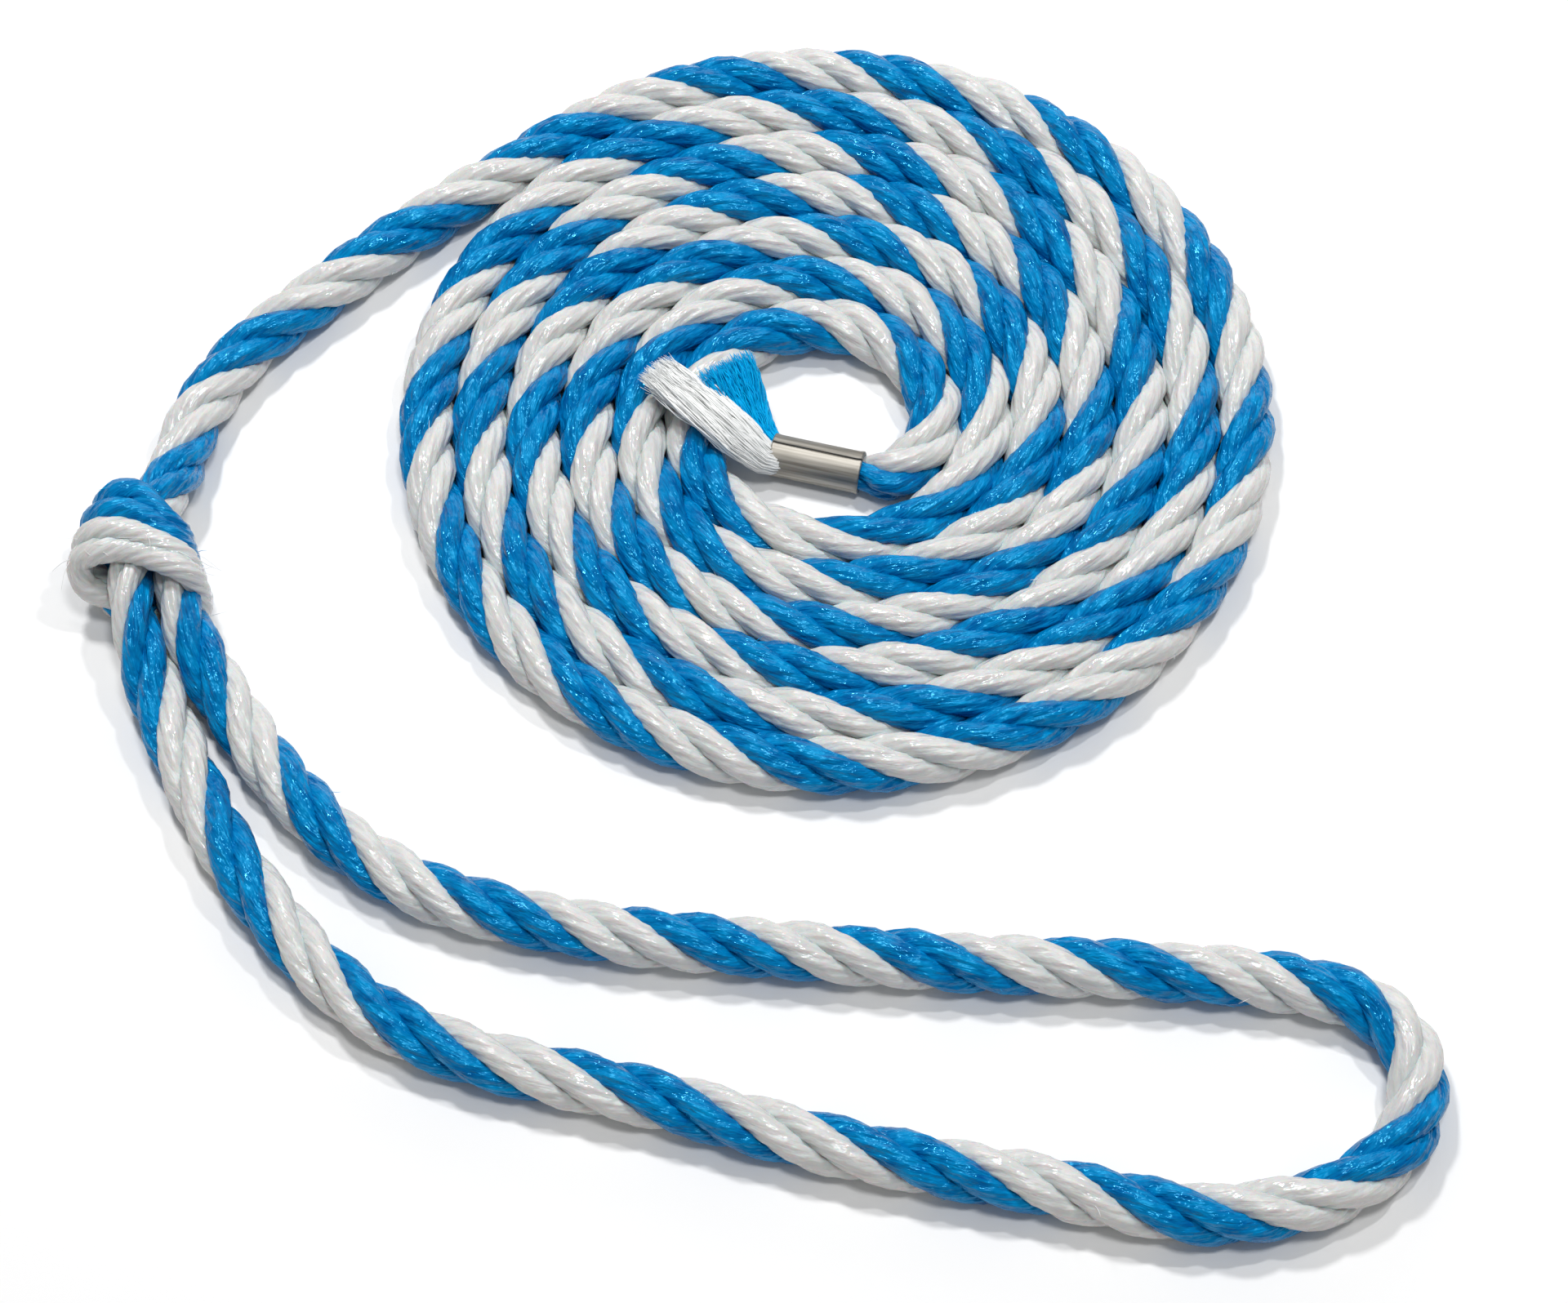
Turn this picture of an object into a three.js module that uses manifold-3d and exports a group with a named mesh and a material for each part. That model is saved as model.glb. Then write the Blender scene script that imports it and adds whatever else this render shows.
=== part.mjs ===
// Coiled dock line: a 12 mm four-strand rope with a knotted eye at one end and a crimped ferrule at the
// other.
// Millimetres, +Z up. It lies on the plane Z = 0. The origin is the centre of the outline, on that plane.
// The rope's solids are plain stand-ins: a disc for the coil and tubes where it isn't coiled.
import * as THREE from 'three';
import { mergeVertices } from 'three/addons/utils/BufferGeometryUtils.js';
import Module from 'manifold-3d';

// ---- driving dimensions ------------------------------------------------------------------------------
const ROPE_D = 12;                    // the rope's diameter
const ROPE_R = ROPE_D / 2;
const GAP = 0.5;                      // clearance between neighbouring solids

const COIL_CENTRE = [18, 46.5];       // middle of the outermost turn
const COIL_DRIFT = [0.6, -2.9];       // how far the middle has moved by the innermost turn
const COIL_OUTER_R = 93.7;            // centreline radius where the rope joins the coil
const COIL_PITCH = 11.13;             // radius lost in each turn: the turns nest a little into each other
const COIL_START = 130;               // direction of the join from the middle, degrees from +X
const COIL_TURNS = 6.31;
const COIL_OVAL = 0.012;              // how much longer the turns are along X than the mean, as a fraction
const NEST = ROPE_D - COIL_PITCH + GAP;  // room left at the outside for the rope that comes in
const BEND_ROOM = 2.6;                // room left in the hole for the bend that leaves it

const FERRULE_END = [6.9, 36.5, 4.75];    // middle of the end that the strands leave
const FERRULE_MOUTH = [26.1, 31.7, 4.75]; // middle of the end that the rope enters
const FERRULE_OUTER_R = 4.5;
const FERRULE_WALL = 0.5;
const FERRULE_SEAM = 0.3;             // the open seam of the rolled sheet
const FERRULE_SEAM_AT = -10;          // direction of the seam, degrees round the ferrule's axis
const CORE_STUB = 1;                  // how far the crimped rope shows past each end of the ferrule

const LEG_WIDTH = 9.2;                // the rope's width where the knot squeezes two legs together
const LEG_HEIGHT = 12;
const FRAYED_D = 3.4;                 // one loose strand past the ferrule

const COLLAR = { left: -139, right: -107.5, bottom: 0, top: 23.6, corner: 10 };
const COLLAR_HOLE = { left: -131.8, right: -110.9, bottom: 5.2, top: 19.1, corner: 6 };
const COLLAR_NEAR = -3;               // its two ends along Y
const COLLAR_FAR = 15;
const COLLAR_EDGE = 1.5;              // rounding of its rims

const BLUE = 0x0f7fc6;
const WHITE = 0xdadde0;
const BLUE_AND_WHITE = 0x86b2d2;
const NICKEL = 0xb4aea4;

// ---- routes where the rope isn't coiled, chosen by hand ----------------------------------------------
// the eye, from the right leg round the far end to the left leg
const EYE_ROUTE = [
  [-106.4, -23, 6], [-103, -28.5, 6], [-92, -44, 6], [-79, -57.5, 6], [-61.5, -68.5, 6], [-30, -77, 6],
  [9.5, -81.5, 6], [48, -84.5, 6], [80.5, -86, 6], [110, -89, 6], [125.5, -94.5, 6], [133, -106, 6],
  [130, -121, 6], [116.5, -132.5, 6], [92, -137.5, 6], [59.5, -131.5, 6], [22, -124, 6], [-15.5, -113.5, 6],
  [-59.5, -101.5, 6], [-80, -88, 6], [-100.5, -62.5, 6], [-113, -39, 6], [-120, -23.5, 6],
];
// the two legs where they pass through the knot's collar
const RIGHT_LEG_ROUTE = [
  [-106.7, -22.5, 6], [-108.3, -19.9, 6.1], [-112.6, -12, 9], [-116.6, -1, 12], [-117, 6, 12.2],
];
const LEFT_LEG_ROUTE = [
  [-120.3, -22.9, 6], [-121.5, -20.2, 6.1], [-124.5, -10, 9.8], [-126.6, 1, 12], [-125.8, 10, 12.5],
  [-124.1, 14.9, 12.4], [-122.8, 19.1, 11.4],
];
// from the knot to the coil
const LEAD_ROUTE = [
  [-122.6, 19.8, 11.2], [-121.4, 23.7, 10.3], [-119, 34, 7.3], [-116, 47, 6.3], [-106, 63.5, 6],
  [-95, 74.5, 6], [-77, 91, 6], [-60, 104.6, 6], [-48.4, 112.9, 6],
];
// from the coil's inner end round to the ferrule
const INNER_ROUTE = [
  [42.2, 47.4, 6], [42, 42.4, 6], [40.4, 37.6, 6], [36.8, 33, 6], [31.8, 30.3, 6], [27.9, 31.25, 6],
];
// the loose strands, each from the ferrule up over the innermost turns
const FRAYED_ROUTES = {
  frayed_end_white_1: [
    [4.9, 34.8, 2.8], [3.4, 35.1, 2.9], [1.4, 35.1, 4.4], [-0.8, 35.2, 9], [-3.2, 36, 14], [-7, 38, 15.4],
    [-18, 45, 14.8],
  ],
  frayed_end_white_2: [
    [4.4, 35.3, 6.9], [3.3, 35.9, 7.9], [1.8, 38, 10.6], [-1.6, 41.6, 13.8], [-8, 46.5, 15.4],
    [-16.5, 52.4, 14.8],
  ],
  frayed_end_blue_1: [
    [5.6, 38.8, 2.8], [4.5, 39.4, 3], [4.6, 43.5, 5], [3.6, 50, 9.8], [1.2, 56, 14.6], [-0.6, 59.5, 14.8],
  ],
  frayed_end_blue_2: [
    [5.3, 38.8, 6.8], [4.6, 39.9, 7.1], [3, 43.4, 9.6], [-0.4, 48, 13.4], [-4.2, 52.8, 15.4], [-6.4, 56, 15],
  ],
};

// ---- shapes ------------------------------------------------------------------------------------------
const wasm = await Module();
wasm.setup();
const group = new THREE.Group();
const radians = THREE.MathUtils.degToRad;
const vector = (point) => new THREE.Vector3(...point);

function add(name, geometry, color, roughness, metalness = 0) {
  const mesh = new THREE.Mesh(geometry, new THREE.MeshStandardMaterial({ color, roughness, metalness }));
  mesh.name = name;
  group.add(mesh);
  return mesh;
}

function addRope(name, geometry, color = BLUE_AND_WHITE) {
  return add(name, geometry, color, 0.45);
}

// Closed sweep of an oval section, its first size standing upright on a path that runs along the floor.
function sweep(points, steps, height, width, sides = 10) {
  const section = new THREE.Shape();
  for (let i = 0; i < sides; i += 1) {
    const turn = (2 * Math.PI * i) / sides;
    const corner = [(height / 2) * Math.cos(turn), (width / 2) * Math.sin(turn)];
    if (i === 0) section.moveTo(...corner);
    else section.lineTo(...corner);
  }
  const extrudePath = new THREE.CatmullRomCurve3(points.map(vector), false, 'centripetal');
  return new THREE.ExtrudeGeometry(section, { steps, extrudePath, bevelEnabled: false });
}

const ropeTube = (points, steps) => sweep(points, steps, ROPE_D, ROPE_D);

// A point on the coil's spiral after so many turns, moved outwards by `offset`.
function coilPoint(turns, offset = 0) {
  const angle = radians(COIL_START) - 2 * Math.PI * turns;
  const share = turns / COIL_TURNS;
  const radius = (COIL_OUTER_R - COIL_PITCH * turns) * (1 + COIL_OVAL * Math.cos(2 * angle)) + offset;
  return new THREE.Vector2(
    COIL_CENTRE[0] + COIL_DRIFT[0] * share + radius * Math.cos(angle),
    COIL_CENTRE[1] + COIL_DRIFT[1] * share + radius * Math.sin(angle),
  );
}

// The outline follows the first turn's outer side and ends in the step that the rope comes in at.
// The hole does the same with the last turn's inner side.
function coilDisc() {
  const edge = 3;
  const outlinePoints = 90;
  const holePoints = 60;
  const outline = [];
  const hole = [];
  for (let i = 0; i <= outlinePoints; i += 1) {
    const turn = i / outlinePoints;
    outline.push(coilPoint(turn, ROPE_R - NEST * turn));
  }
  for (let i = 0; i <= holePoints; i += 1) {
    const turn = i / holePoints;
    hole.push(coilPoint(COIL_TURNS - 1 + turn, BEND_ROOM * (1 - turn) - ROPE_R));
  }
  const disc = new THREE.ExtrudeGeometry(new THREE.Shape(outline), {
    depth: ROPE_D - 2 * edge, bevelThickness: edge, bevelSize: edge, bevelOffset: -edge, bevelSegments: 3,
  });
  const cutter = new THREE.ExtrudeGeometry(new THREE.Shape(hole), {
    depth: 2 * ROPE_D, bevelEnabled: false,
  });
  return subtract(disc.translate(0, 0, edge), cutter.translate(0, 0, -ROPE_R));
}

// The closed body inside a geometry's faces, for cutting.
function solid(geometry) {
  const bare = new THREE.BufferGeometry();
  bare.setAttribute('position', geometry.getAttribute('position'));
  const { attributes, index } = mergeVertices(bare);
  return new wasm.Manifold(new wasm.Mesh({
    numProp: 3, vertProperties: attributes.position.array, triVerts: new Uint32Array(index.array),
  }));
}

// The first geometry with the second one's body cut out of it.
function subtract(geometry, cutter) {
  const { vertProperties, triVerts } = solid(geometry).subtract(solid(cutter)).getMesh();
  const indexed = new THREE.BufferGeometry();
  indexed.setAttribute('position', new THREE.BufferAttribute(vertProperties, 3));
  indexed.setIndex(new THREE.BufferAttribute(triVerts, 1));
  const result = indexed.toNonIndexed();
  result.computeVertexNormals();
  return result;
}

// The turn of rope round the knot's two legs: a thick band lying along Y, with a flat spot on the floor.
function knotCollar() {
  const ring = roundedRectangle(new THREE.Shape(), COLLAR, -COLLAR_EDGE);
  ring.holes.push(roundedRectangle(new THREE.Path(), COLLAR_HOLE, COLLAR_EDGE));
  const geometry = new THREE.ExtrudeGeometry(ring, {
    depth: COLLAR_FAR - COLLAR_NEAR - 2 * COLLAR_EDGE,
    bevelThickness: COLLAR_EDGE,
    bevelSize: COLLAR_EDGE,
    bevelSegments: 2,
    curveSegments: 8,
  });
  return geometry.rotateX(Math.PI / 2).translate(0, COLLAR_FAR - COLLAR_EDGE, 0);
}

// Draws a rectangle with round corners, larger all round by `growth`.
function roundedRectangle(path, { left, right, bottom, top, corner }, growth) {
  const [x0, x1, y0, y1] = [left - growth, right + growth, bottom - growth, top + growth];
  const r = corner + growth;
  path.moveTo(x0 + r, y0);
  path.lineTo(x1 - r, y0);
  path.absarc(x1 - r, y0 + r, r, -Math.PI / 2, 0);
  path.absarc(x1 - r, y1 - r, r, 0, Math.PI / 2);
  path.absarc(x0 + r, y1 - r, r, Math.PI / 2, Math.PI);
  path.absarc(x0 + r, y0 + r, r, Math.PI, 1.5 * Math.PI);
  return path;
}

// Rolled sheet: a ring with a narrow open seam, extruded along +Z.
function ferruleSleeve(length) {
  const halfSeam = FERRULE_SEAM / 2 / FERRULE_OUTER_R;
  const first = radians(FERRULE_SEAM_AT) + halfSeam;
  const last = radians(FERRULE_SEAM_AT) - halfSeam + 2 * Math.PI;
  const section = new THREE.Shape();
  section.absarc(0, 0, FERRULE_OUTER_R, first, last, false);
  section.absarc(0, 0, FERRULE_OUTER_R - FERRULE_WALL, last, first, true);
  section.closePath();
  return new THREE.ExtrudeGeometry(section, { depth: length, bevelEnabled: false, curveSegments: 40 });
}

// Stands a mesh built along +Z on `from`, pointing at `to`.
function aim(mesh, from, to) {
  mesh.position.copy(from);
  mesh.quaternion.setFromUnitVectors(new THREE.Vector3(0, 0, 1), to.clone().sub(from).normalize());
}

// ---- the coil and the stretches of rope that leave it ------------------------------------------------
addRope('rope_coil', coilDisc());

const coilStart = coilPoint(-GAP / (2 * Math.PI * COIL_OUTER_R));
addRope('rope_lead', ropeTube([...LEAD_ROUTE, [coilStart.x, coilStart.y, ROPE_R]], 14));

const innerRadius = COIL_OUTER_R - COIL_PITCH * COIL_TURNS;
const coilEnd = coilPoint(COIL_TURNS + GAP / (2 * Math.PI * innerRadius));
addRope('rope_inner_bend', ropeTube([[coilEnd.x, coilEnd.y, ROPE_R], ...INNER_ROUTE], 12));

// ---- the eye and its knot ----------------------------------------------------------------------------
addRope('eye_loop', ropeTube(EYE_ROUTE, 42));
addRope('knot_right_leg', sweep(RIGHT_LEG_ROUTE, 8, LEG_HEIGHT, LEG_WIDTH), WHITE);
addRope('knot_left_leg', sweep(LEFT_LEG_ROUTE, 10, LEG_HEIGHT, LEG_WIDTH), WHITE);
addRope('knot_collar', knotCollar(), BLUE);

// ---- the ferrule, the rope crimped inside it and the frayed strands ----------------------------------
const ferruleEnd = vector(FERRULE_END);
const ferruleMouth = vector(FERRULE_MOUTH);
const ferruleLength = ferruleEnd.distanceTo(ferruleMouth);
aim(add('ferrule', ferruleSleeve(ferruleLength), NICKEL, 0.3, 0.9), ferruleMouth, ferruleEnd);

const coreLength = ferruleLength + 2 * CORE_STUB;
const coreGeometry = new THREE.CylinderGeometry(1, 1, coreLength, 24).rotateX(Math.PI / 2);
coreGeometry.scale(FERRULE_OUTER_R - FERRULE_WALL - GAP, FERRULE_OUTER_R - FERRULE_WALL - GAP, 1);
const core = addRope('crimped_rope_core', coreGeometry);
aim(core, ferruleMouth.clone().lerp(ferruleEnd, 0.5), ferruleEnd);

for (const [name, route] of Object.entries(FRAYED_ROUTES)) {
  addRope(name, sweep(route, 12, FRAYED_D, FRAYED_D, 8), name.includes('blue') ? BLUE : WHITE);
}

export default group;
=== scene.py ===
"""Coiled dock line: a 12 mm four-strand rope with a knotted eye, a crimped ferrule and frayed ends.

Metres, in the CAD model's frame. The rope's centreline is worked out once, and each strand is a mesh swept
round it.
"""

import math

import bpy
import numpy as np
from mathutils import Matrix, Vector


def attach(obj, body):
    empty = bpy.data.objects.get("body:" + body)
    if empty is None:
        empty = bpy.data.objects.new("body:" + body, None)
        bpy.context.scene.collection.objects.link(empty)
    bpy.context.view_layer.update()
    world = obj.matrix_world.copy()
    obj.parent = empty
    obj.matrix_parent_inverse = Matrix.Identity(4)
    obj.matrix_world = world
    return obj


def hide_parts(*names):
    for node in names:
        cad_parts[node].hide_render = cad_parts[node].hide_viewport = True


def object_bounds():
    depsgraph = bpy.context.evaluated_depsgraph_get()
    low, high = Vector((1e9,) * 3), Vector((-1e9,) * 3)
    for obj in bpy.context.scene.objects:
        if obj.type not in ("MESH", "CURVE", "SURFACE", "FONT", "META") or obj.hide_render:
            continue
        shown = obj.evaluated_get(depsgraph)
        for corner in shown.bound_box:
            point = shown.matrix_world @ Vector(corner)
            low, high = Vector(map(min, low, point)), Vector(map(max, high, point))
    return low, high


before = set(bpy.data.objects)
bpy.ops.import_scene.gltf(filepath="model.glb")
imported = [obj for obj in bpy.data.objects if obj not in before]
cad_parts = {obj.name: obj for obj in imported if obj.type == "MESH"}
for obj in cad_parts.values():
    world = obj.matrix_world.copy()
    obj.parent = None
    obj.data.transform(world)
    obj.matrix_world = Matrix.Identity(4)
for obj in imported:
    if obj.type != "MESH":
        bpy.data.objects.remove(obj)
cad_low, cad_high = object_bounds()

# ---- the rope, in metres -------------------------------------------------------------------------
ROPE_D = 0.012
STRAND_R = 0.00266                          # the strands press into each other a little
STRAND_OUT = ROPE_D / 2 - STRAND_R          # a strand's middle from the rope's middle
STRAND_SIDES = 32
RING_STEP = 0.0012                          # between rings of a strand
LOWEST = 0.00002                            # no strand's surface lies lower than this over the floor

YARNS = 8                                   # yarns showing round one strand
YARN_PITCH = 0.0285                         # the yarns turn the other way, so they run along the rope
YARN_RELIEF = 0.055                         # depth of the grooves between yarns, as a share of STRAND_R
YARN_SWELLING = 0.052                       # how much a yarn swells and thins, as a share of STRAND_R
YARN_WAVES = ((0.5, 0.0034), (0.35, 0.0071), (0.3, 0.019))   # (share of the swelling, length of the wave)
STRAND_SWELLING = 0.03                      # the strand as a whole swells and thins too
STRAND_WAVE = 0.047

# ---- the rope's route ----------------------------------------------------------------------------
# The CAD model's route, with the knot as the whole turn of rope that it is. The legs and the lead's first
# points follow that turn, and the inner bend sinks a little where the crimp narrows the rope.
KNOT = [
    (-0.1240, 0.0050, 0.0045), (-0.1305, 0.0052, 0.0060), (-0.1347, 0.0072, 0.0105),
    (-0.1347, 0.0098, 0.0160), (-0.1308, 0.0098, 0.0205), (-0.1250, 0.0084, 0.0213),
    (-0.1190, 0.0058, 0.0208), (-0.1152, 0.0042, 0.0182), (-0.1141, 0.0038, 0.0120),
    (-0.1146, 0.0016, 0.0062), (-0.1190, 0.0000, 0.0035), (-0.1245, -0.0010, 0.0035),
    (-0.1300, 0.0030, 0.0040), (-0.1305, 0.0090, 0.0045), (-0.1260, 0.0135, 0.0050),
    (-0.1205, 0.0130, 0.0065), (-0.1176, 0.0065, 0.0095), (-0.1165, -0.0010, 0.0110),
]
EYE = [
    (-0.1130, -0.0120, 0.0095), (-0.1030, -0.0285, 0.006), (-0.0920, -0.0440, 0.006),
    (-0.0790, -0.0575, 0.006), (-0.0615, -0.0685, 0.006), (-0.0300, -0.0770, 0.006),
    (0.0095, -0.0815, 0.006), (0.0480, -0.0845, 0.006), (0.0805, -0.0860, 0.006),
    (0.1100, -0.0890, 0.006), (0.1255, -0.0945, 0.006), (0.1330, -0.1060, 0.006),
    (0.1300, -0.1210, 0.006), (0.1165, -0.1325, 0.006), (0.0920, -0.1375, 0.006),
    (0.0595, -0.1315, 0.006), (0.0220, -0.1240, 0.006), (-0.0155, -0.1135, 0.006),
    (-0.0595, -0.1015, 0.006), (-0.0800, -0.0880, 0.006), (-0.1005, -0.0625, 0.006),
    (-0.1130, -0.0390, 0.006), (-0.1210, -0.0200, 0.0075),
]
LEAD = [
    (-0.1250, -0.0080, 0.0110), (-0.1260, 0.0020, 0.0125), (-0.1245, 0.0120, 0.0130),
    (-0.1215, 0.0220, 0.0110), (-0.1190, 0.0340, 0.0068), (-0.1160, 0.0470, 0.006),
    (-0.1060, 0.0635, 0.006), (-0.0950, 0.0745, 0.006), (-0.0770, 0.0910, 0.006),
    (-0.0600, 0.1046, 0.006), (-0.0484, 0.1129, 0.006),
]
COIL_CENTRE = (0.018, 0.0465)
COIL_DRIFT = (0.0006, -0.0029)              # how far the centre moves from the first turn to the last
COIL_OUTER_R = 0.0937
COIL_PITCH = 0.01113                        # radius lost in each turn
COIL_START = math.radians(130)
COIL_TURNS = 6.31
COIL_OVAL = 0.012                           # share by which the turns are longer along X than the mean
COIL_POINTS = 24                            # on each turn
INNER_BEND = [
    (0.0422, 0.0474, 0.006), (0.0420, 0.0424, 0.006), (0.0404, 0.0376, 0.006), (0.0368, 0.0330, 0.006),
    (0.0318, 0.0303, 0.0058), (0.0279, 0.03125, 0.0052),
]
FERRULE_MOUTH = Vector((0.0261, 0.0317, 0.00475))
FERRULE_END = Vector((0.0069, 0.0365, 0.00475))
FERRULE_TURN = math.radians(14)             # from the X axis to the sleeve's length

# ---- the lay and the knot ------------------------------------------------------------------------
# A station is a distance along the rope from where the eye leaves the knot.
# Each mark: (station, turns that the blue pair has made there)
LAY_MARKS = (
    (-0.140, -1.60), (-0.086, -1.44), (-0.017, -0.46), (0.006, 0.04), (0.096, 2.09), (0.181, 4.09),
    (0.265, 6.09), (0.302, 6.99), (0.396, 8.96), (0.500, 10.96), (0.606, 13.01), (0.693, 15.08),
    (0.780, 17.10), (0.863, 19.11), (0.951, 21.06), (1.035, 22.96), (1.127, 24.92), (1.216, 26.97),
    (1.304, 29.07), (1.392, 31.11), (1.476, 33.06), (1.567, 34.95), (1.659, 36.92), (1.753, 39.02),
    (1.840, 41.10), (1.918, 43.08), (1.996, 44.98), (2.079, 46.92), (2.171, 49.01), (2.254, 51.10),
    (2.328, 53.07), (2.404, 54.94), (2.488, 56.94), (2.578, 59.09), (2.654, 61.06), (2.732, 62.92),
    (2.826, 65.05), (2.912, 67.05), (3.010, 68.95), (3.096, 71.05), (3.150, 72.30),
)
LAY_SMOOTHING = 8                           # rings each way over which the lay's pace is evened out
COIL_JOIN = 0.775                           # station where the lead meets the coil

# Each span is four stations: where it starts, where it is full, where it stops being full, and where it ends.
RIBBON = (-0.160, -0.150, -0.060, -0.050)   # the lay opens into a flat ribbon over the top of the knot
RIBBON_LEFT = (-0.118, -0.108, -0.099, -0.088)    # where the ribbon comes up on the knot's left
RIBBON_RIGHT = (-0.090, -0.076, -0.060, -0.050)   # where it goes down on the right
LEGS = ((-0.030, -0.020, -0.010, 0.008), (0.598, 0.616, 0.638, 0.652))  # squeezed side by side in the knot
LEG_WIDTH = 0.80                            # of the rope's own width
LEG_HEIGHT = 1.06                           # and height
KNOT_AXIS = Vector((-0.122, 0.0, 0.011))    # the knot's passes wrap a line along Y through here

# How far apart a pair's strands lie in the ribbon, in strand diameters, and how far their row leans along the
# rope: each as (in the middle, what is added on the left, what is added on the right).
RIBBON_APART = {"blue": (1.10, -0.20, -0.45), "white": (0.66, 0.26, 0.08)}
RIBBON_LEAN = {"blue": (0.0, -0.08, 0.34), "white": (0.0, -0.50, 0.34)}
RIBBON_CROWN = 0.0008                       # how much the outer strands of the ribbon fall away

CRIMP_RUN = 0.008                           # the rope narrows over this distance before the ferrule
CRIMP_LOSS = 0.37                           # share of its diameter that it loses

# Each strand: its colour, its place round the lay in degrees from the middle of the blue pair, and its
# place across the ribbon.
STRANDS = {
    "strand_blue_1": ("blue", 45, -0.5),
    "strand_blue_2": ("blue", -45, -1.5),
    "strand_white_2": ("white", 135, 0.5),
    "strand_white_1": ("white", -135, 1.5),
}
FIRST_SEED = 11                             # the strands' surfaces use this seed and the next three

UP = np.array([0.0, 0.0, 1.0])


# ---- geometry helpers ----------------------------------------------------------------------------
def smooth(x):
    x = np.clip(x, 0, 1)
    return x * x * (3 - 2 * x)


def hump(s, span):
    """0 outside the span, 1 between its two middle values."""
    a, b, c, d = span
    return smooth((s - a) / (b - a)) * (1 - smooth((s - c) / (d - c)))


def unit(v):
    return v / np.linalg.norm(v, axis=-1, keepdims=True)


def dot(a, b):
    return (a * b).sum(-1, keepdims=True)


def gaps(points):
    """The distance from each point to the next."""
    return np.linalg.norm(np.diff(points, axis=0), axis=1)


def distances(points):
    """How far along the line each point is."""
    return np.concatenate([[0], np.cumsum(gaps(points))])


def spline(points, per=10):
    """Centripetal Catmull-Rom through the points."""
    p = np.array(points, float)
    p = np.vstack([2 * p[0] - p[1], p, 2 * p[-1] - p[-2]])
    out = []
    for i in range(1, len(p) - 2):
        q = p[i - 1:i + 3]
        t = np.concatenate([[0], np.cumsum(gaps(q) ** 0.5)])
        x = np.linspace(t[1], t[2], per, endpoint=False)[:, None]

        def mix(a, b, ta, tb):
            return ((tb - x) * a + (x - ta) * b) / (tb - ta)

        a1, a2, a3 = (mix(q[k], q[k + 1], t[k], t[k + 1]) for k in range(3))
        out.append(mix(mix(a1, a2, t[0], t[2]), mix(a2, a3, t[1], t[3]), t[1], t[2]))
    return np.vstack(out + [p[-2:-1]])


def resample(points, step):
    """The same line in equal steps: distances along it, and points."""
    s = distances(points)
    u = np.linspace(0, s[-1], max(int(round(s[-1] / step)), 2) + 1)
    return u, np.stack([np.interp(u, s, points[:, i]) for i in range(3)], -1)


def carried_frames(line, at, normal):
    """Tangents, and normals carried along the line both ways without twist from one place on it."""
    tangent = unit(np.gradient(line, axis=0))
    normals = np.zeros_like(line)
    normals[at] = normal
    for way, stop in ((1, len(line)), (-1, -1)):
        for i in range(at, stop, way):
            v = normals[at] if i == at else normals[i - way]
            v = v - tangent[i] * (v @ tangent[i])
            normals[i] = v / np.linalg.norm(v)
    return tangent, normals


def new_mesh(name, points, faces, uv=None, smooth_faces=True):
    mesh = bpy.data.meshes.new(name)
    mesh.from_pydata([tuple(p) for p in points], [], faces)
    mesh.polygons.foreach_set("use_smooth", [smooth_faces] * len(mesh.polygons))
    if uv is not None:
        layer = mesh.uv_layers.new(name="along")
        layer.data.foreach_set("uv", np.asarray(uv, float).ravel())
    mesh.update()
    obj = bpy.data.objects.new(name, mesh)
    bpy.context.scene.collection.objects.link(obj)
    return obj


def tube_faces(rings, sides, first=0):
    """Quads of a tube and its two end faces, and each corner's (side, ring) for its UV."""
    faces, corners = [], []
    for i in range(rings - 1):
        for k in range(sides):
            a, b = first + i * sides, first + (i + 1) * sides
            faces.append((a + k, a + (k + 1) % sides, b + (k + 1) % sides, b + k))
            corners += [(k, i), (k + 1, i), (k + 1, i + 1), (k, i + 1)]
    faces.append(tuple(first + k for k in reversed(range(sides))))
    faces.append(tuple(first + (rings - 1) * sides + k for k in range(sides)))
    corners += [(k, 0) for k in reversed(range(sides))] + [(k, rings - 1) for k in range(sides)]
    return faces, corners


# ---- the centreline, and what happens along it ---------------------------------------------------
def coil_point(turns):
    angle = COIL_START - 2 * math.pi * turns
    share = turns / COIL_TURNS
    r = (COIL_OUTER_R - COIL_PITCH * turns) * (1 + COIL_OVAL * math.cos(2 * angle))
    return (
        COIL_CENTRE[0] + COIL_DRIFT[0] * share + r * math.cos(angle),
        COIL_CENTRE[1] + COIL_DRIFT[1] * share + r * math.sin(angle),
        ROPE_D / 2,
    )


def twist(s):
    """Turns that the blue pair has made at these stations, with the lay changing gently from mark to mark."""
    marks = np.array(LAY_MARKS)
    raw = np.interp(s, marks[:, 0], marks[:, 1])
    half = LAY_SMOOTHING
    padded = np.concatenate([2 * raw[0] - raw[half:0:-1], raw, 2 * raw[-1] - raw[-2:-half - 2:-1]])
    kernel = np.hanning(2 * half + 3)[1:-1]
    return np.convolve(padded, kernel / kernel.sum(), mode="valid")


def knot_outward():
    """Away from the line that the knot's passes wrap, square to the rope."""
    out = centre - np.array(KNOT_AXIS)
    out[:, 1] = 0
    out = out - tangent * dot(out, tangent)
    return unit(out)


coil_turns = np.append(np.arange(0, COIL_TURNS, 1 / COIL_POINTS), COIL_TURNS)
route = KNOT + EYE + LEAD + [coil_point(k) for k in coil_turns] + INNER_BEND
route += [tuple(FERRULE_MOUTH), tuple((FERRULE_MOUTH + FERRULE_END) / 2), tuple(FERRULE_END)]
along_rope, centre = resample(spline(route), RING_STEP)
station = along_rope - gaps(spline(KNOT + EYE[:1])).sum()
ferrule_mouth_at = station[-1] - (FERRULE_END - FERRULE_MOUTH).length

tangent, normal = carried_frames(centre, int(np.searchsorted(station, COIL_JOIN)), UP)
binormal = np.cross(tangent, normal)
outward = knot_outward()
turns = twist(station)

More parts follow.
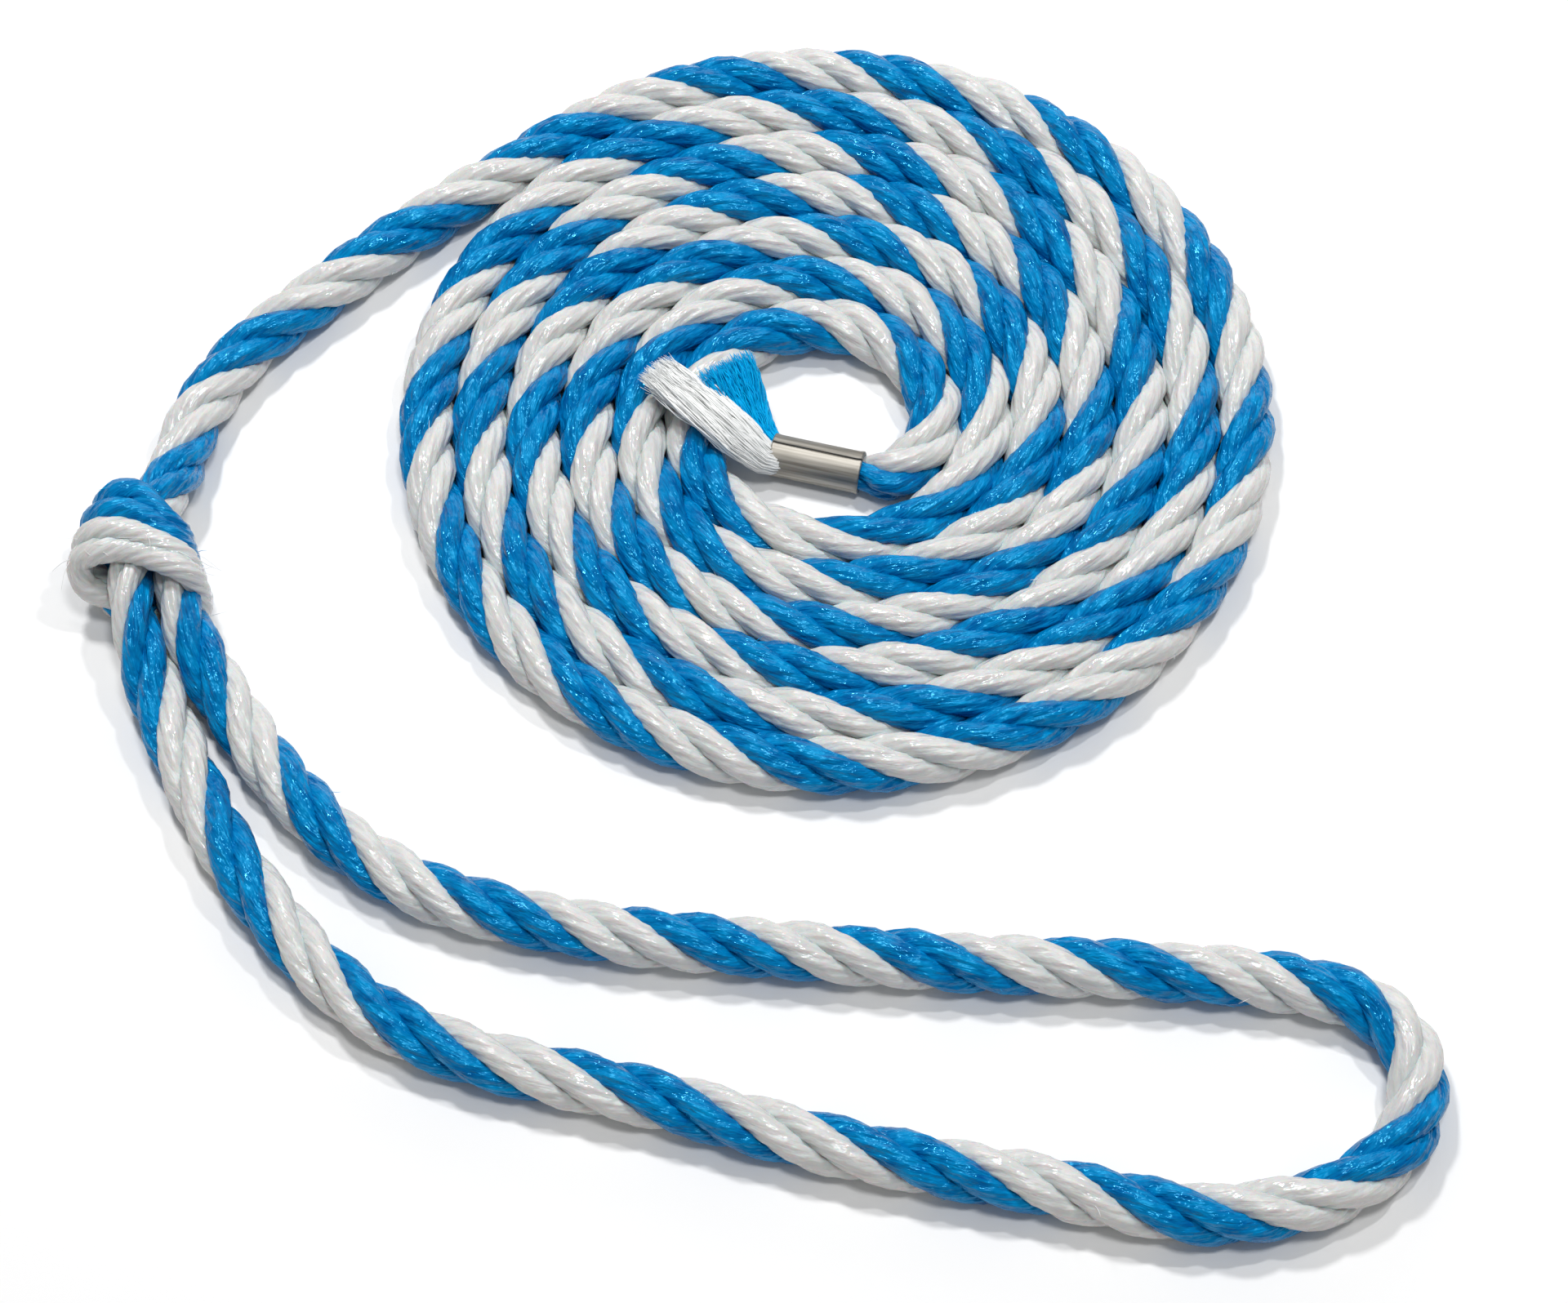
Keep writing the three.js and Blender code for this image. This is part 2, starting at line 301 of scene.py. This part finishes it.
ribbon = hump(station, RIBBON)[:, None]
ribbon_left = hump(station, RIBBON_LEFT)[:, None]
ribbon_right = hump(station, RIBBON_RIGHT)[:, None]
crimp = smooth((station - (ferrule_mouth_at - CRIMP_RUN)) / CRIMP_RUN)[:, None]
squeeze = sum(hump(station, span) for span in LEGS)[:, None]


def shape_rope(points, i=slice(None)):
    """Squeezes points near the rope as the knot, the floor and the ferrule do."""
    narrow = 1 - CRIMP_LOSS * crimp[i]
    off = (points - centre[i]) * narrow
    side = np.cross(tangent[i], UP)
    side = side / np.maximum(np.linalg.norm(side, axis=-1, keepdims=True), 0.3)   # fades on upright rope
    off = off + side * dot(off, side) * (LEG_WIDTH - 1) * squeeze[i]
    off[..., 2:] *= 1 + (LEG_HEIGHT - 1) * squeeze[i]
    off[..., 2:] *= np.clip(centre[i][..., 2:] / (ROPE_D / 2 * narrow), 0, 1)
    return centre[i] + off


# ---- strands -------------------------------------------------------------------------------------
def strand_line(colour, lay_place, ribbon_place):
    """The middle of one strand, and which way its outer side faces."""
    angle = (2 * np.pi * turns + math.radians(lay_place))[:, None]
    radial = np.cos(angle) * normal + np.sin(angle) * binormal
    laid = STRAND_OUT * radial

    def over_ribbon(middle, left, right):
        return middle + left * ribbon_left + right * ribbon_right

    apart = 2 * STRAND_R * over_ribbon(*RIBBON_APART[colour])
    lean = over_ribbon(*RIBBON_LEAN[colour])
    across = unit(np.array([0.0, -1.0, 0.0]) + np.array([1.0, 0.0, 0.0]) * lean)
    crown = outward * ribbon_place ** 2 * RIBBON_CROWN * (1 - ribbon_right)
    flat = across * ribbon_place * apart - crown
    out = unit(radial * (1 - ribbon) + outward * ribbon + 1e-6)
    return centre + laid * (1 - ribbon) + flat * ribbon, out


def yarn_swelling(run, rng):
    """How much each yarn swells and thins along the strand, each in its own rhythm."""
    waves = np.zeros((len(run), YARNS))
    for yarn in range(YARNS):
        for size, pitch in YARN_WAVES:
            phase, stretch = rng.uniform(0, 2 * np.pi), rng.uniform(0.85, 1.15)
            wander = 1.2 * np.sin(2 * np.pi * run / (pitch * rng.uniform(3.1, 5.3)) + rng.uniform(0, 6))
            waves[:, yarn] += size * np.sin(2 * np.pi * run / (pitch * stretch) + phase + wander)
    return waves


def make_strand(name, colour, lay_place, ribbon_place, seed):
    rng = np.random.default_rng(seed)
    line, out = strand_line(colour, lay_place, ribbon_place)
    along = unit(np.gradient(line, axis=0))
    out = unit(out - along * dot(out, along))
    side = np.cross(along, out)
    run = distances(line)

    place = np.arange(STRAND_SIDES) / STRAND_SIDES
    yarn = np.floor(place * YARNS + 0.5).astype(int) % YARNS
    radius = 1 + YARN_RELIEF * np.cos(2 * np.pi * YARNS * place)[None, :]
    radius = radius + YARN_SWELLING * yarn_swelling(run, rng)[:, yarn]
    wave = np.sin(2 * np.pi * run / STRAND_WAVE + rng.uniform(0, 6))
    radius = radius * (1 + STRAND_SWELLING * wave)[:, None] * STRAND_R

    turn = (2 * np.pi * place)[None, :] - (2 * np.pi * run / YARN_PITCH)[:, None]
    ring = (np.cos(turn) * radius)[..., None] * out[:, None, :]
    ring = ring + (np.sin(turn) * radius)[..., None] * side[:, None, :]
    index = np.arange(len(run))[:, None].repeat(STRAND_SIDES, axis=1)
    points = shape_rope(line[:, None, :] + ring, index)
    points[..., 2] = np.maximum(points[..., 2], LOWEST)

    faces, corners = tube_faces(len(run), STRAND_SIDES)
    corners = np.array(corners, float)
    uv_along = run[corners[:, 1].astype(int)] / (2 * np.pi * STRAND_R)
    uv = np.stack([corners[:, 0] / STRAND_SIDES, uv_along], -1)
    return new_mesh(name, points.reshape(-1, 3), faces, uv)


strands = {
    name: make_strand(name, *how, seed)
    for seed, (name, how) in enumerate(STRANDS.items(), FIRST_SEED)
}


# ---- materials -----------------------------------------------------------------------------------
def set_inputs(node, values):
    """Sets a node's inputs by name, with underscores for the spaces in it."""
    for key, value in values.items():
        node.inputs[key.replace("_", " ")].default_value = value


def principled(name, **values):
    material = bpy.data.materials.new(name)
    material.use_nodes = True
    shader = material.node_tree.nodes["Principled BSDF"]
    set_inputs(shader, values)
    return material, shader


def add_node(material, kind, **values):
    node = material.node_tree.nodes.new(kind)
    set_inputs(node, values)
    return node


def colour_ramp(material, source, dark, light, start, end):
    """A colour that goes from dark to light as the source goes from start to end."""
    node = add_node(material, "ShaderNodeValToRGB")
    for element, position, colour in zip(node.color_ramp.elements, (start, end), (dark, light)):
        element.position = position
        element.color = (*colour, 1)
    material.node_tree.links.new(source, node.inputs["Fac"])
    return node.outputs["Color"]


def fibre_material(name, dark, light, roughness, relief, **values):
    """Drawn polypropylene: fine filaments along each yarn, a little colour change, dull and bright patches.

    UVs are turns round the strand and strand girths along it, and the noises' scales are per unit of those.
    """
    material, shader = principled(name, **values)
    link = material.node_tree.links.new
    uv = add_node(material, "ShaderNodeUVMap")
    uv.uv_map = "along"

    def noise(scale_round, scale_along):
        mapping = add_node(material, "ShaderNodeMapping", Scale=(scale_round, scale_along, 1))
        texture = add_node(material, "ShaderNodeTexNoise", Scale=1.0, Detail=2.0)
        link(uv.outputs["UV"], mapping.inputs["Vector"])
        link(mapping.outputs["Vector"], texture.inputs["Vector"])
        return texture.outputs["Fac"]

    filaments = noise(52, 2.6)
    patches = noise(6, 3.4)
    mix = add_node(material, "ShaderNodeMix", Factor=0.6)
    link(filaments, mix.inputs["A"])
    link(patches, mix.inputs["B"])
    link(colour_ramp(material, mix.outputs["Result"], dark, light, 0.32, 0.66), shader.inputs["Base Color"])

    dullness = {"To_Min": roughness - 0.12, "To_Max": roughness + 0.14}
    gloss = add_node(material, "ShaderNodeMapRange", From_Min=0.35, From_Max=0.65, **dullness)
    link(patches, gloss.inputs["Value"])
    link(gloss.outputs["Result"], shader.inputs["Roughness"])

    lumps = add_node(material, "ShaderNodeBump", Strength=relief, Distance=0.0014)
    link(noise(11, 4.5), lumps.inputs["Height"])
    threads = add_node(material, "ShaderNodeBump", Strength=relief / 2, Distance=0.0002)
    link(filaments, threads.inputs["Height"])
    link(lumps.outputs["Normal"], threads.inputs["Normal"])
    link(threads.outputs["Normal"], shader.inputs["Normal"])
    return material


def metal_material():
    """Nickel plate with fine streaks along the sleeve."""
    material, shader = principled("nickel_plate", Metallic=1.0)
    link = material.node_tree.links.new
    coords = add_node(material, "ShaderNodeTexCoord")
    rotate = add_node(material, "ShaderNodeMapping", Rotation=(0, 0, FERRULE_TURN))
    stretch = add_node(material, "ShaderNodeMapping", Scale=(50, 1500, 1500))
    texture = add_node(material, "ShaderNodeTexNoise", Scale=1, Detail=4)
    link(coords.outputs["Object"], rotate.inputs["Vector"])
    link(rotate.outputs["Vector"], stretch.inputs["Vector"])
    link(stretch.outputs["Vector"], texture.inputs["Vector"])
    streaks = texture.outputs["Fac"]
    colour = colour_ramp(material, streaks, (0.24, 0.222, 0.19), (0.50, 0.475, 0.43), 0.3, 0.7)
    link(colour, shader.inputs["Base Color"])
    rough = add_node(material, "ShaderNodeMapRange", To_Min=0.46, To_Max=0.64)
    link(streaks, rough.inputs["Value"])
    link(rough.outputs["Result"], shader.inputs["Roughness"])
    bump = add_node(material, "ShaderNodeBump", Strength=0.25, Distance=0.00005)
    link(streaks, bump.inputs["Height"])
    link(bump.outputs["Normal"], shader.inputs["Normal"])
    return material


CYAN_GLOSS = (0.12, 0.70, 1.0, 1.0)         # the blue plastic's shine is cyan
blue = fibre_material(
    "blue_polypropylene", (0.0, 0.074, 0.275), (0.0, 0.270, 0.605), roughness=0.16, relief=0.85,
    Specular_IOR_Level=0.60, Specular_Tint=CYAN_GLOSS,
)
white = fibre_material(
    "white_polypropylene", (0.57, 0.585, 0.58), (0.65, 0.66, 0.65), roughness=0.24, relief=0.42,
    Specular_IOR_Level=0.5, Subsurface_Weight=0.5, Subsurface_Scale=0.003,
)
loose_blue = fibre_material(
    "loose_blue_filaments", (0.0, 0.24, 0.58), (0.0, 0.50, 0.90), roughness=0.3, relief=0.2,
    Specular_IOR_Level=0.4, Specular_Tint=CYAN_GLOSS,
)
loose_white = fibre_material(
    "loose_white_filaments", (0.82, 0.83, 0.83), (0.92, 0.93, 0.92), roughness=0.4, relief=0.2,
)
for name, obj in strands.items():
    obj.data.materials.append(blue if "blue" in name else white)

# ---- ferrule -------------------------------------------------------------------------------------
FERRULE_R = 0.0045
FERRULE_WALL = 0.0005
FERRULE_LENGTH = (FERRULE_END - FERRULE_MOUTH).length
FERRULE_STEPS = 96                          # round the sleeve
FERRULE_OVAL = 0.012                        # the crimp leaves it slightly oval,
FERRULE_OVAL_AT = 0.4                       # widest at this angle
FERRULE_WAIST = 0.00003                     # and slightly waisted
RIM_PROUD = 0.00012                         # the rims stand this far out
RIM_RADIUS = 0.0002
SEAM_AT = math.radians(-10)
SEAM_GAP = 0.0003
SEAM_PROUD = 0.00012                        # one edge of the seam stands this far out
SEAM_FADE = 1 / 14                          # share of the way round over which it comes down again


def ferrule_profile():
    """The sheet's section, all the way round, as (distance out from FERRULE_R, distance along the sleeve)."""
    wall, length = FERRULE_WALL, FERRULE_LENGTH
    rim = [
        (-wall, RIM_RADIUS), (-wall * 0.7, 0.0), (-wall * 0.2, 0.0),
        (RIM_PROUD, RIM_RADIUS + 0.00002), (RIM_PROUD + 0.00001, 0.0005),
    ]
    outside = np.linspace(0.0012, length - 0.0012, 9)
    inside = np.linspace(length - 0.002, 0.002, 5)
    profile = list(rim)
    profile += [(-FERRULE_WAIST * math.sin(math.pi * z / length), z) for z in outside]
    profile += [(out, length - z) for out, z in reversed(rim)]
    profile += [(-wall, z) for z in inside]
    return profile


def make_ferrule():
    """A strip of sheet rolled round the rope: slightly oval, its rims rounded, an open seam near the top."""
    profile = ferrule_profile()
    m = len(profile)
    seam = SEAM_GAP / FERRULE_R
    points, faces = [], []
    for t in np.linspace(0, 1, FERRULE_STEPS + 1):
        angle = SEAM_AT + seam / 2 + (2 * math.pi - seam) * t
        oval = 1 + FERRULE_OVAL * math.cos(2 * (angle - FERRULE_OVAL_AT))
        proud = SEAM_PROUD * max(0.0, 1 - t / SEAM_FADE)
        for out, z in profile:
            radius = (FERRULE_R + out) * oval + proud
            points.append((radius * math.cos(angle), radius * math.sin(angle), z))
    for i in range(FERRULE_STEPS):
        for j in range(m):
            k = (j + 1) % m
            faces.append((i * m + j, (i + 1) * m + j, (i + 1) * m + k, i * m + k))
    faces.append(tuple(reversed(range(m))))
    faces.append(tuple(FERRULE_STEPS * m + j for j in range(m)))
    turn = Vector((0, 0, 1)).rotation_difference(FERRULE_END - FERRULE_MOUTH)
    placed = [turn @ Vector(p) + FERRULE_MOUTH for p in points]
    return new_mesh("ferrule_sleeve", placed, faces)


ferrule = make_ferrule()
ferrule.data.materials.append(metal_material())

# ---- loose filaments -----------------------------------------------------------------------------
GOLDEN_ANGLE = 2.39996                      # spreads the filaments evenly over the bundle's section
FILAMENT_UV = 0.05                          # a filament shows this much of its texture round itself
TUFT_STEP = 0.0008
TUFT_RINGS = 18
TUFT_SIDES = 5
TUFT_LOWEST = 0.0006
BUNDLE_BEND = 0.0005                        # how far a filament strays by its tip,
LOOSE_BEND = 0.0014                         # and how far a loose one does
SWAY_ACROSS = 0.00040                       # each filament weaves this far either way
SWAY_UP = 0.00030
FUZZ_RINGS = 7
FUZZ_SIDES = 4
FUZZ_RADIUS = 0.00007
FUZZ_LENGTHS = (0.0012, 0.0034)
KNOT_FUZZ_LONGER = 1.6                      # stray filaments at the knot are longer by this much
FUZZ_ROOT = 0.86                            # a stray filament starts this share of STRAND_R out
FUZZ_LOWEST_START = 0.004                   # none starts lower than this,
FUZZ_LOWEST = 0.0004                        # and none hangs lower than this
KNOT_RINGS = (14, 60)                       # the strand's rings on top of the knot


def filament_mesh(name, material, threads, sides, reference, uv_shift, uv_step):
    """One mesh of thin tubes, each given as (points, radii).

    uv_shift is the UV step from one filament to the next, and uv_step the one from ring to ring.
    """
    points, faces, uv = [], [], []
    angle = 2 * np.pi * np.arange(sides) / sides
    for j, (thread, radius) in enumerate(threads):
        along = unit(np.gradient(thread, axis=0))
        e1 = unit(np.cross(along, np.array(reference)))
        e2 = np.cross(along, e1)
        ring = np.cos(angle)[None, :, None] * e1[:, None, :] + np.sin(angle)[None, :, None] * e2[:, None, :]
        ring = thread[:, None, :] + radius[:, None, None] * ring
        tube, corners = tube_faces(len(thread), sides, len(points))
        points += list(ring.reshape(-1, 3))
        faces += tube
        uv += [(k / sides * FILAMENT_UV + j * uv_shift, i * uv_step) for k, i in corners]
    obj = new_mesh(name, points, faces, uv)
    obj.data.materials.append(material)
    return obj


def make_tuft(name, material, path, widths, heights, count, thick, seed, stray, spread=0.0):
    """Filaments that leave the ferrule together. widths and heights are the bundle's, at equal steps."""
    rng = np.random.default_rng(seed)
    distance, line = resample(spline(path, per=12), TUFT_STEP)
    share = distance / distance[-1]
    along, up = carried_frames(line, 0, UP)
    side = np.cross(along, up)
    width = np.interp(share, np.linspace(0, 1, len(widths)), widths)
    height = np.interp(share, np.linspace(0, 1, len(heights)), heights)

    threads = []
    for j in range(count):
        r, a = math.sqrt((j + 0.5) / count), j * GOLDEN_ANGLE
        x, y = r * math.cos(a), r * math.sin(a)
        loose = rng.random() < stray
        end = rng.uniform(0.7 if loose else 0.90, 1.0)
        bend = rng.normal(0, 1, 2) * (LOOSE_BEND if loose else BUNDLE_BEND)
        wave, phase = rng.uniform(0.22, 0.7), rng.uniform(0, 6)
        f = np.linspace(0, end, TUFT_RINGS)
        sway = 2 * np.pi * f / wave + phase

        def here(rows):
            return np.stack([np.interp(f, share, rows[:, i]) for i in range(3)], -1)

        dx = x * np.interp(f, share, width) / 2 + bend[0] * f ** 2 + SWAY_ACROSS * np.sin(sway)
        dx = dx + spread * x * f ** 2
        dy = y * np.interp(f, share, height) / 2 + bend[1] * f ** 2 + SWAY_UP * np.cos(sway)
        thread = here(line) + here(side) * dx[:, None] + here(up) * dy[:, None]
        thread[:, 2] = np.maximum(thread[:, 2], TUFT_LOWEST)
        taper = np.interp(f, [0, end * 0.85, end], [1, 0.9, 0.25])
        threads.append((thread, thick * rng.uniform(0.6, 1.15) * taper))
    return filament_mesh(name, material, threads, TUFT_SIDES, (0.0, 0.1, 1.0), 0.037, 0.09)


def make_fuzz(name, material, names, count, seed, knot_share):
    """Single filaments that have come loose and stand a few millimetres off the rope."""
    rng = np.random.default_rng(seed)
    lines = {n: strand_line(*STRANDS[n]) for n in names}
    threads = []
    for _ in range(count):
        line, out = lines[names[rng.integers(len(names))]]
        i = int(rng.integers(10, len(line) - 40))
        in_knot = rng.random() < knot_share
        if in_knot:
            i = int(rng.integers(*KNOT_RINGS))
        a = rng.uniform(-1.2, 1.2)
        start = line[i] + out[i] * STRAND_R * FUZZ_ROOT * math.cos(a)
        start = start + np.cross(tangent[i], out[i]) * STRAND_R * FUZZ_ROOT * math.sin(a)
        start = shape_rope(start[None, :], slice(i, i + 1))[0]
        if start[2] < FUZZ_LOWEST_START:
            continue
        lean = tangent[i] * rng.choice([-1, 1]) + out[i] * rng.uniform(0.1, 0.5)
        lean = unit(lean + rng.normal(0, 0.35, 3))
        length = rng.uniform(*FUZZ_LENGTHS) * (KNOT_FUZZ_LONGER if in_knot else 1.0)
        curl = unit(rng.normal(0, 1, 3)) * length * (0.6 if in_knot else 0.35)
        f = np.linspace(0, 1, FUZZ_RINGS)
        thread = start + lean * length * f[:, None] + curl * (f ** 2)[:, None]
        thread[:, 2] = np.clip(thread[:, 2], FUZZ_LOWEST, float(cad_high.z))
        threads.append((thread, FUZZ_RADIUS * np.interp(f, [0, 0.7, 1], [1, 0.9, 0.3])))
    return filament_mesh(name, material, threads, FUZZ_SIDES, (0.1, 0.2, 1.0), 0.0, 0.1)


white_tuft = make_tuft(
    "frayed_white", loose_white,
    path=[
        (0.0085, 0.0352, 0.0052), (0.0055, 0.0348, 0.0064), (0.0010, 0.0368, 0.0098),
        (-0.0040, 0.0398, 0.0132), (-0.0110, 0.0452, 0.0150), (-0.0165, 0.0500, 0.0148),
        (-0.0190, 0.0520, 0.0146),
    ],
    widths=(0.0060, 0.0090, 0.0118, 0.0122, 0.0114, 0.0102, 0.0094),
    heights=(0.0050, 0.0056, 0.0056, 0.0052, 0.0046, 0.0040, 0.0036),
    count=1000, thick=0.00017, seed=5, stray=0.14,
)
blue_tuft = make_tuft(
    "frayed_blue", loose_blue,
    path=[
        (0.0088, 0.0378, 0.0050), (0.0060, 0.0392, 0.0062), (0.0034, 0.0422, 0.0080),
        (0.0004, 0.0462, 0.0106), (-0.0027, 0.0506, 0.0132), (-0.0049, 0.0538, 0.0142),
    ],
    widths=(0.0040, 0.0062, 0.0092, 0.0124, 0.0148, 0.0156),
    heights=(0.0044, 0.0036, 0.0030, 0.0026, 0.0022, 0.0020),
    count=520, thick=0.00019, seed=6, spread=0.0006, stray=0.25,
)
white_fuzz = make_fuzz(
    "stray_white", loose_white, ["strand_white_1", "strand_white_2"], count=190, seed=21, knot_share=0.4,
)
blue_fuzz = make_fuzz(
    "stray_blue", loose_blue, ["strand_blue_1", "strand_blue_2"], count=70, seed=22, knot_share=0.1,
)

# ---- the pieces go on the root body, and the CAD model's rope, ferrule and frayed ends are hidden ---
pieces = [*strands.values(), ferrule, white_tuft, blue_tuft, white_fuzz, blue_fuzz]
for obj in pieces:
    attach(obj, "root")
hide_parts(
    "rope_coil", "rope_lead", "rope_inner_bend", "eye_loop", "knot_right_leg", "knot_left_leg",
    "knot_collar", "crimped_rope_core",
)
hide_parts("ferrule")
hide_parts("frayed_end_white_1", "frayed_end_white_2")
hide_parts("frayed_end_blue_1", "frayed_end_blue_2")

# ---- camera, floor and light ---------------------------------------------------------------------
FLOOR_HALF = 3
SKY_STRENGTH = 0.25
# Each light: its name, place, width and power. All aim at the part's middle.
LIGHTS = (
    ("key", (-0.30, 0.55, 1.15), 0.15, 8.2),
    ("top", (0.15, -0.22, 1.4), 0.26, 6.0),
    ("glint", (0.35, 0.20, 0.9), 0.06, 2.2),
    ("card", (0.10, 0.95, 0.42), 0.7, 1.6),
)

scene = bpy.context.scene
camera = bpy.data.objects.new("camera", bpy.data.cameras.new("camera"))
camera.location = (0.0095, -0.4195, 0.7101)
camera.rotation_euler = (math.radians(30), 0, 0)
camera.data.lens = 90
camera.data.sensor_width = 36
camera.data.clip_start = 0.01
scene.collection.objects.link(camera)
scene.camera = camera

floor_corners = [(x * FLOOR_HALF, y * FLOOR_HALF, 0) for x, y in ((-1, -1), (1, -1), (1, 1), (-1, 1))]
floor = new_mesh("floor", floor_corners, [(0, 1, 2, 3)], smooth_faces=False)
floor_material, _ = principled("floor", Roughness=0.9, Base_Color=(0.90, 0.90, 0.90, 1))
floor.data.materials.append(floor_material)

for name, place, width, power in LIGHTS:
    light = bpy.data.objects.new(name, bpy.data.lights.new(name, "AREA"))
    light.data.shape = "DISK"
    light.data.size = width
    light.data.energy = power
    light.location = place
    light.rotation_euler = (-Vector(place)).to_track_quat("-Z", "Y").to_euler()
    scene.collection.objects.link(light)

world = bpy.data.worlds.new("world")
world.use_nodes = True
set_inputs(world.node_tree.nodes["Background"], {"Color": (1, 1, 1, 1), "Strength": SKY_STRENGTH})
scene.world = world
scene.view_settings.view_transform = "Standard"
